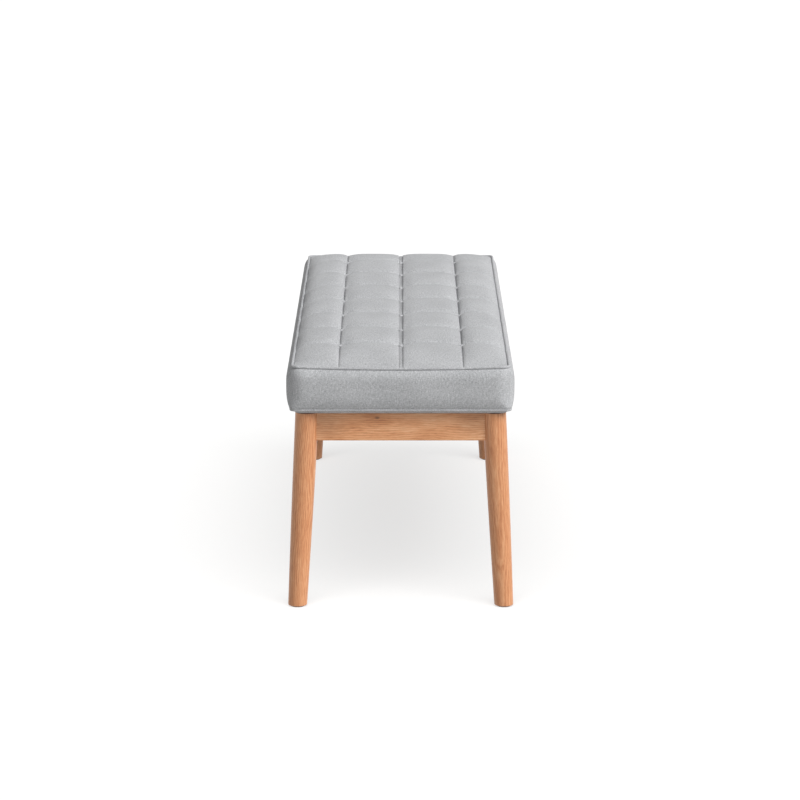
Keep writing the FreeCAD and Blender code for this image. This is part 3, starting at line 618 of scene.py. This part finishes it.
fade = np.where(top, 1.0, np.clip((height - PIPING_LOW) / (PIPING_TOP - PIPING_LOW), 0, 1) ** 1.5)
plan_x, plan_y, height = pull_edges(plan_x, plan_y, height, fade)
base = np.stack([plan_x, plan_y, height], 1) * MM
move_points(cushion, base)

# %% [markdown]
# ## Let the cloth settle
# A formula alone looks too clean. A short cloth simulation with a little pressure inside lets the cover
# find its own balance: the panels fill out, the creases soften, and the cloth near a tuft tightens. The
# seams, the tufts and the edges under the piping are sewn down, so they are pinned. No point may travel
# far, because the foam inside keeps its shape.

# %% Simulate the cover
SETTLE_CAP = 5.0 * MM
PRESSURE, FRAMES = 3.5, 9
HELD_TOP, HELD_SIDES = 0.04, 0.25  # how firmly the cloth is held where nothing is sewn
seam_distance = np.min([np.abs(y - seam) for seam in SEAMS], axis=0)
crease_distance = np.min([np.abs(x - row * ROW) for row in ROWS], axis=0)
held = np.where(top, HELD_TOP, HELD_SIDES)
sewn = ((crease_distance, 0.9, 12.0), (seam_distance, 1.0, 4.0), (tuft_distance, 1.0, 16.0))
for away, firmness, width in sewn:
    held = np.maximum(held, np.where(top, firmness * bell(away, width), 0))
short_rim, long_rim = np.abs(x) >= half_x - 0.01, np.abs(y) >= half_y - 0.01
held[(top & (short_rim | long_rim)) | (ring == 1) | (ring == 2) | (ring >= len(ring_heights) - 1)] = 1.0


def settle(piece, weights, pressure, frames):
    """Runs the cloth simulation on the piece, with weights from 0, free, to 1, sewn down."""
    group = piece.vertex_groups.new(name="sewn_down")
    for weight in np.unique(np.round(weights, 2)):
        if weight > 0:
            group.add(np.flatnonzero(np.round(weights, 2) == weight).tolist(), float(weight), "REPLACE")
    cloth = piece.modifiers.new("cloth", "CLOTH")
    cloth.settings.quality = 4
    cloth.settings.vertex_group_mass = "sewn_down"
    cloth.settings.use_pressure = True
    cloth.settings.uniform_pressure_force = pressure
    cloth.settings.effector_weights.gravity = 0
    cloth.settings.tension_stiffness = cloth.settings.compression_stiffness = 25
    cloth.settings.bending_stiffness = 1.5
    cloth.point_cache.frame_start, cloth.point_cache.frame_end = 1, frames
    for number in range(1, frames + 1):
        bpy.context.scene.frame_set(number)
    only(piece)
    bpy.ops.object.modifier_apply(modifier="cloth")
    piece.vertex_groups.clear()
    bpy.context.scene.frame_set(1)


settle(cushion, held, PRESSURE, FRAMES)
moved = points_of(cushion) - base
distance = np.linalg.norm(moved, axis=1)
average, most = (round(float(value) / MM, 2) for value in (distance.mean(), distance.max()))
print("settled by", average, "mm on average,", most, "at most")
moved *= np.minimum(1, SETTLE_CAP / np.maximum(distance, 1e-9))[:, None]
base = base + moved
move_points(cushion, base)

# %% [markdown]
# The weave runs with each strip: along and across it on the top, and round and up and down on the sides.
# Each vertex keeps its place on the flat cloth as an attribute, so the pattern isn't stretched where the
# cloth turns down. The form is then cut apart where the real cover is sewn, and each panel gets the
# cloth's own thickness on its inside.

# %% Cut the cover into its panels
CLOTH = 1.5                   # thickness in millimetres
around = np.where(long_rim, x, 0.0) + np.where(short_rim, y, 0.0)
flat_place = np.where(top[:, None], np.stack([y, x, 0 * x], 1), np.stack([around, height, 0 * x], 1)) * MM
mark(cushion, "weave", flat_place)


def cut_panel(keep, name, solid):
    """A copy of the cushion's faces that keep(x, y, ring) chooses, as cloth with a thickness."""
    only(cushion)
    bpy.ops.object.duplicate()
    panel = bpy.context.object
    mesh = bmesh.new()
    mesh.from_mesh(panel.data)
    mesh.verts.ensure_lookup_table()
    doomed = []
    for face in mesh.faces:
        numbers = [vertex.index for vertex in face.verts]
        if len(numbers) > 4 or not keep(x[numbers].mean(), y[numbers].mean(), ring[numbers].mean()):
            doomed.append(face)
    bmesh.ops.delete(mesh, geom=doomed, context="FACES")
    mesh.to_mesh(panel.data)
    mesh.free()
    thicken(panel, CLOTH, -1)
    return finish(panel, name, cover_cloth, "cover_fabric", solid)


edges_y = (-PIPING_Y,) + SEAMS + (PIPING_Y,)
for number in range(4):
    low, high = edges_y[number], edges_y[number + 1]
    strip = cut_panel(lambda px, py, level: level < 0.1 and low < py < high,
                      f"sewn_strip_{number + 1}", f"top_strip_{number + 1}")

# %% [markdown]
# The boxing is four bands: two long ones and two short ones. They meet at the middle of each rounded
# corner, where the real cover has an upright seam, so a band is the part of the sides that lies nearer to
# its own side than to the next one.

# %% Cut the side bands
corner_slope = PIPING_X - PIPING_Y


def on_side(px, py, side_x, side_y):
    """Whether a place on the rim belongs to the band on that side."""
    if side_x:
        return px * side_x - corner_slope > abs(py)
    return abs(px) - corner_slope <= abs(py) and py * side_y > 0


for name, solid, side_x, side_y in (("boxing_front", "side_band_front", 0, -1),
                                    ("boxing_rear", "side_band_rear", 0, 1),
                                    ("boxing_left", "end_band_left", -1, 0),
                                    ("boxing_right", "end_band_right", 1, 0)):
    band = cut_panel(lambda px, py, level: level > 0.4 and on_side(px, py, side_x, side_y), name, solid)

# %% [markdown]
# Under the cover lies the stuffing: foam on the board, and soft fibre over it that the tufts draw down. It
# is the same closed form, a cloth's thickness and a little air smaller, and flat where it rests on the
# board. Nobody sees it while the cover is on, but it is what the cover is stretched over.

# %% Stuffing
BOARD_TOP = 373.5
STUFFING_GAP = 2.1            # between the outside of the cover and the stuffing
stuffing = cushion
only(stuffing)
bpy.ops.object.shade_smooth()
normals = np.empty(len(stuffing.data.vertices) * 3)
stuffing.data.vertex_normals.foreach_get("vector", normals)
inside = points_of(stuffing) - normals.reshape(-1, 3) * STUFFING_GAP * MM
last_ring = int(np.argmax(heights < BOARD_TOP + 2.0))
inside[ring >= last_ring, 2] = (BOARD_TOP + 0.1) * MM
move_points(stuffing, inside)
bpy.ops.object.mode_set(mode="EDIT")
bpy.ops.mesh.select_mode(type="VERT")
bpy.ops.mesh.select_all(action="DESELECT")
bpy.ops.object.mode_set(mode="OBJECT")
for number in np.flatnonzero(ring > last_ring):
    stuffing.data.vertices[int(number)].select = True
bpy.ops.object.mode_set(mode="EDIT")
bpy.ops.mesh.delete(type="VERT")
bpy.ops.mesh.select_non_manifold()
bpy.ops.mesh.edge_face_add()
bpy.ops.mesh.select_all(action="SELECT")
bpy.ops.mesh.normals_make_consistent(inside=False)
bpy.ops.object.mode_set(mode="OBJECT")

wadding, tree, surface = new_material("polyester_fibre_and_foam", {
    "Base Color": linear("#E9E6DC"), "Roughness": 0.95})
add_bump(tree, surface, own_noise(tree, 700.0, 3.0), 0.5, 0.5)
finish(stuffing, "stuffing", wadding, "foam", "foam_core", "fibre_topper", "backing_cloth", "tuft_twines")

# %% [markdown]
# ## Piping
# A welt is a cord in a folded strip of the same cloth, cut on the bias so that it bends without creasing
# and sewn in between two panels. It is a curve with a round section along the sewn edge. The curve takes
# the same places round the rim as the panels' edges do, so the two stay together where the edge dips. Its
# radius varies a little, because the cloth gathers along the cord, and its weave runs at 45 degrees.

# %% Piping along both edges
PIPING = 2.5                  # radius of a welt
GATHER, GATHER_SIZE = 0.07, 9.0  # how much a welt's radius varies, and in what waves
rim_x = lines_x + [half_x] * (count_y - 1) + lines_x[::-1] + [-half_x] * (count_y - 1)
rim_y = [-half_y] * (count_x + 1) + lines_y[1:-1] + [half_y] * (count_x + 1) + lines_y[-2:0:-1]
rim_x, rim_y = np.array(rim_x), np.array(rim_y)


def rim_places(out, corner):
    """The places round the rim at one distance outside the piping line."""
    return round_corners(rim_x * (PIPING_X + out) / half_x, rim_y * (PIPING_Y + out) / half_y,
                         PIPING_X + out, PIPING_Y + out, corner)


def make_piping(name, solid, line_height, out, corner, pull):
    """A welt at some height and some distance outside the piping line, pulled as the panels' edges are."""
    line_x, line_y, line_z = pull_edges(*rim_places(out, corner), line_height, pull)
    curve = bpy.data.curves.new(name, "CURVE")
    curve.dimensions = "3D"
    curve.bevel_depth = PIPING * MM
    curve.bevel_resolution = 4
    spline = curve.splines.new("POLY")
    spline.points.add(len(line_x) - 1)
    spline.use_cyclic_u = True
    gathers = uneven(line_x, line_y, line_z, GATHER_SIZE)
    for point, px, py, pz, gather in zip(spline.points, line_x, line_y, line_z, gathers):
        point.co = (px * MM, py * MM, pz * MM, 1)
        point.radius = 1 + GATHER * gather
    piping = bpy.data.objects.new(name, curve)
    bpy.context.scene.collection.objects.link(piping)
    only(piping)
    bpy.ops.object.convert(target="MESH")
    bpy.ops.object.shade_smooth()
    steps = np.hypot(np.diff(line_x, append=line_x[0]), np.diff(line_y, append=line_y[0]))
    travelled = np.concatenate([[0], np.cumsum(steps)[:-1]])
    sides = len(piping.data.vertices) // len(line_x)
    along = np.repeat(travelled, sides)
    round_it = np.tile(np.arange(sides) * 2 * math.pi * PIPING / sides, len(line_x))
    mark(piping, "weave", np.stack([along, round_it, 0 * along], 1) * MM)
    return finish(piping, name, bias_cloth, "cover_fabric", solid)


make_piping("welt_upper", "piping_top", PIPING_TOP, 0.0, PIPING_CORNER, 1.0)
make_piping("welt_lower", "piping_bottom", PIPING_LOW, 2.6, LOWER_CORNER, 0.0)

# %% [markdown]
# ## Tuft buttons
# Each tuft is a small button covered in the same cloth, drawn down by twine until it sits in its pit. A
# button is a flattened ball with its underside pulled in. One is shaped, and the others are copies of it,
# each turned a little differently, as 21 buttons tied by hand would be.

# %% Buttons
BUTTON = 5.0                  # radius
BUTTON_SINK = 1.6             # of the button's middle below the tuft's height
bpy.ops.mesh.primitive_uv_sphere_add(segments=24, ring_count=12, radius=BUTTON * MM)
button = bpy.context.object
shape = points_of(button)
shape[:, 2] *= np.where(shape[:, 2] > 0, 0.62, 0.35)
move_points(button, shape)
bpy.ops.object.shade_smooth()
mark(button, "weave", shape)
buttons = []
for number, (tuft_x, tuft_y) in enumerate(TUFTS):
    only(button)
    bpy.ops.object.duplicate()
    copy = bpy.context.object
    copy.rotation_euler = (0.10 * math.sin(number * 2.4), 0.10 * math.cos(number * 1.7), number * 1.1)
    copy.location = (tuft_x * MM, tuft_y * MM, (TUFT_Z - BUTTON_SINK) * MM)
    bpy.ops.object.transform_apply()
    buttons.append(copy)
bpy.data.objects.remove(button)
bpy.ops.object.select_all(action="DESELECT")
for copy in buttons:
    copy.select_set(True)
bpy.context.view_layer.objects.active = buttons[0]
bpy.ops.object.join()
finish(bpy.context.object, "covered_buttons", cover_cloth, "cover_fabric", "tuft_buttons")

# %% [markdown]
# ## Under the cushion
# Below the lower piping the cover turns under the board, where it is stapled. A thin black non-woven
# cloth covers the staples and the open underside, and ends a finger's width inside the edge. Both are
# thin sheets. The turned-in hem starts as a ring of points at the piping and is extruded inwards.

# %% Turned-in hem
HEM_THICK, HEM_RIPPLE = 0.9, 0.25
# The hem's rings: how far outside the piping line, and how high.
HEM_RINGS = ((1.4, 363.9), (-1.0, 362.6), (-3.4, 361.2), (-5.4, 359.4), (-8.0, 358.3),
             (-14.0, 358.0), (-28.0, 358.0), (-42.0, 358.0))
bpy.ops.mesh.primitive_circle_add(vertices=len(rim_x), radius=1, fill_type="NOTHING")
hem = bpy.context.object
bpy.ops.object.mode_set(mode="EDIT")
bpy.ops.mesh.select_mode(type="EDGE")
bpy.ops.mesh.select_all(action="SELECT")
extrude_rings(len(HEM_RINGS) - 1)
bpy.ops.object.mode_set(mode="OBJECT")
plain = points_of(hem)
level = np.rint(-plain[:, 2] / RING_STEP).astype(int)
turn = np.arctan2(plain[:, 1], plain[:, 0])
order = np.rint((turn % (2 * math.pi)) / (2 * math.pi) * len(rim_x)).astype(int) % len(rim_x)
spots = np.empty_like(plain)
for number, (out, spot_z) in enumerate(HEM_RINGS):
    line_x, line_y = rim_places(out, max(PIPING_CORNER + out, 4.0))
    chosen = level == number
    spots[chosen] = np.stack([line_x[order[chosen]], line_y[order[chosen]], np.full(chosen.sum(), spot_z)], 1)
ripple = uneven(spots[:, 0], spots[:, 1], spots[:, 2], 22.0)
spots[:, 2] += np.where((level > 1) & (level < 4), HEM_RIPPLE * ripple, 0)
move_points(hem, spots * MM)
mark(hem, "weave", spots * MM)
only(hem)
bpy.ops.object.mode_set(mode="EDIT")
bpy.ops.mesh.select_all(action="SELECT")
bpy.ops.mesh.normals_make_consistent(inside=False)
bpy.ops.object.mode_set(mode="OBJECT")
thicken(hem, HEM_THICK, 0)
finish(hem, "turned_in_hem", cover_cloth, "cover_fabric", "cover_turn_in")

# %% Dust cover
DUST_X, DUST_Y, DUST_CORNER = 613.5, 183.5, 12.0
DUST_LOW, DUST_THICK = 357.0, 0.5
RAIL_X, RAIL_Y = 589.5, 159.5  # inner faces of the rails
BRACE_X, BRACE_HALF = 235, 11  # middle of a cross brace, and half its width
TIGHT = 30                    # near the wood the cloth is tight over this distance
SAG, SAG_UNEVEN = 1.2, 0.9
bpy.ops.mesh.primitive_grid_add(x_subdivisions=150, y_subdivisions=46, size=2)
dust = bpy.context.object
plain = points_of(dust)
dust_x, dust_y = round_corners(plain[:, 0] * DUST_X, plain[:, 1] * DUST_Y, DUST_X, DUST_Y, DUST_CORNER)
open_bay = np.clip((RAIL_X - np.abs(dust_x)) / TIGHT, 0, 1) * np.clip((RAIL_Y - np.abs(dust_y)) / TIGHT, 0, 1)
open_bay *= np.clip((np.abs(np.abs(dust_x) - BRACE_X) - BRACE_HALF) / TIGHT, 0, 1)
sag = open_bay * (SAG + SAG_UNEVEN * uneven(dust_x, dust_y, 0 * dust_x, 60.0))
flat = np.stack([dust_x, dust_y, DUST_LOW + DUST_THICK - sag], 1) * MM
move_points(dust, flat)
thicken(dust, DUST_THICK, -1)

felt, tree, surface = new_material("black_spunbond_polypropylene", {"Roughness": 0.8})
place = node(tree, "TexCoord", {}).outputs["Object"]
dots = node(tree, "TexVoronoi", {"Vector": place, "Scale": 520.0, "Randomness": 0.15}).outputs["Distance"]
tone = node(tree, "Mix", {"Factor": 0.5, "A": dots, "B": own_noise(tree, 900.0, 3.0)}).outputs["Result"]
add_colour(tree, surface, tone, [(0.2, "#141414"), (0.8, "#2E2E2F")])
add_bump(tree, surface, tone, 0.5, 0.2)
finish(dust, "black_dust_cloth", felt, "non_woven", "dust_cover")

# %% [markdown]
# ## Legs
# A leg is turned between centres: a bar that gets slimmer from 43 mm at the top to 34 mm at the foot, with
# a slight fullness in the middle. It is modelled upright as a cylinder whose rings are scaled to the
# profile, with its grain position stored then. After that it is tilted by 3 degrees both ways, sawn level
# at the top and the foot, and the foot's edge is rounded so that it doesn't splinter.

# %% Turned legs
FRAME_TOP, FOOT_Z = 357.0, 2.0
LEG_X, LEG_Y, RAIL_MIDDLE = 600.5, 170.5, 331.5
SPLAY = 19.0 / 360.0          # sideways for each millimetre of height
FOOT_RADIUS, MIDDLE_RADIUS, TOP_RADIUS = 17.2, 19.8, 21.4
LEG_RINGS = 12
SPARE = 24.0                  # length that is sawn off again at each end
FOOT_EDGE = 1.6               # how far the foot's edge is rounded


def leg_radius(z):
    """A smooth curve through the three radii."""
    share = z / FRAME_TOP
    straight = FOOT_RADIUS + (TOP_RADIUS - FOOT_RADIUS) * share
    return straight + 4 * (MIDDLE_RADIUS - (FOOT_RADIUS + TOP_RADIUS) / 2) * share * (1 - share)


def make_leg(name, side_x, side_y, number):
    """One turned leg, sawn level. Each one is cut from another place in the tree."""
    low, high = -SPARE, FRAME_TOP + SPARE
    bpy.ops.mesh.primitive_cylinder_add(vertices=64, radius=MM, depth=(high - low) * MM, end_fill_type="NGON")
    leg = bpy.context.object
    bpy.ops.object.mode_set(mode="EDIT")
    bpy.ops.mesh.select_all(action="SELECT")
    for step in range(1, LEG_RINGS):
        cut = ((high - low) * step / LEG_RINGS - (high - low) / 2) * MM
        bpy.ops.mesh.bisect(plane_co=(0, 0, cut), plane_no=(0, 0, 1), use_fill=False)
        bpy.ops.mesh.select_all(action="SELECT")
    bpy.ops.object.mode_set(mode="OBJECT")
    upright = points_of(leg)
    z = upright[:, 2] / MM + (high + low) / 2
    radius = leg_radius(z)
    upright = np.stack([upright[:, 0] * radius, upright[:, 1] * radius, z * MM], 1)
    mark(leg, "grain", upright + np.array([0.07 * number, 0.045 * number, 0.6 * number]))
    move_points(leg, upright)
    axis = Vector((-side_x * SPLAY, -side_y * SPLAY, 1))
    leg.rotation_euler = axis.to_track_quat("Z", "Y").to_euler()
    spread = SPLAY * RAIL_MIDDLE
    leg.location = (side_x * (LEG_X + spread) * MM, side_y * (LEG_Y + spread) * MM, 0)
    only(leg)
    bpy.ops.object.transform_apply()
    bpy.ops.object.mode_set(mode="EDIT")
    for plane, below in ((FOOT_Z, True), (FRAME_TOP, False)):
        bpy.ops.mesh.select_all(action="SELECT")
        bpy.ops.mesh.bisect(plane_co=(0, 0, plane * MM), plane_no=(0, 0, 1), use_fill=True,
                            clear_inner=below, clear_outer=not below)
    bpy.ops.mesh.select_mode(type="EDGE")
    bpy.ops.mesh.select_all(action="DESELECT")
    bpy.ops.object.mode_set(mode="OBJECT")
    for edge in leg.data.edges:
        ends = [leg.data.vertices[vertex].co.z for vertex in edge.vertices]
        edge.select = max(ends) < (FOOT_Z + 0.05) * MM
    bpy.ops.object.mode_set(mode="EDIT")
    bpy.ops.mesh.bevel(offset=FOOT_EDGE * MM, segments=4, affect="EDGES")
    bpy.ops.object.mode_set(mode="OBJECT")
    bpy.ops.object.shade_smooth_by_angle(angle=math.radians(40))
    return finish(leg, f"turned_{name}", turned_wood, "hardwood", name)


for number, (name, side_x, side_y) in enumerate((("front_left", -1, -1), ("front_right", 1, -1),
                                                 ("rear_left", -1, 1), ("rear_right", 1, 1))):
    make_leg(f"leg_{name}", side_x, side_y, number)

# %% [markdown]
# ## Rails, braces, blocks and board
# These are planed straight pieces, and the solid model already has their true shapes, down to the hollowed
# ends that fit round the legs. They keep their shapes and get their finishes: lacquered hardwood for the
# rails, sawn softwood for what hides under the board, and veneers laid crosswise for the board itself.

# %% Finishes of the frame's straight pieces
def dress(node_name, material):
    """Gives a piece of the solid model its material."""
    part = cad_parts[node_name]
    part.data.materials.clear()
    part.data.materials.append(material)


for side in ("front", "rear"):
    dress(f"long_rail_{side}", long_wood)
for side in ("left", "right"):
    dress(f"end_rail_{side}", end_wood)
    dress(f"cross_brace_{side}", brace_wood)
for corner in ("front_left", "front_right", "rear_left", "rear_right"):
    dress(f"corner_block_{corner}", brace_wood)

birch = [(0.2, "#C9A673"), (0.5, "#DDBF90"), (0.8, "#E9D3AC")]
dress("seat_deck", wood_material("birch_plywood", birch, (0, QUARTER, 0), (0.2, 0.1, 0), 0.7))

zinc, tree, surface = new_material("zinc_plated_steel", {"Metallic": 1.0})
spangle = own_noise(tree, 260.0, 2.0)
add_colour(tree, surface, spangle, [(0.3, "#B9BDC0"), (0.7, "#D3D6D8")])
tree.links.new(remap(tree, spangle, 0.26, 0.42), surface.inputs["Roughness"])
for name in ("hanger_bolts", "hanger_washers", "hanger_nuts", "block_screws", "seat_screws"):
    dress(name, zinc)

nylon, tree, surface = new_material("moulded_nylon", {"Roughness": 0.5})
add_colour(tree, surface, own_noise(tree, 400.0, 2.0), [(0.3, "#3A2F28"), (0.7, "#4A3D34")])
dress("foot_glides", nylon)
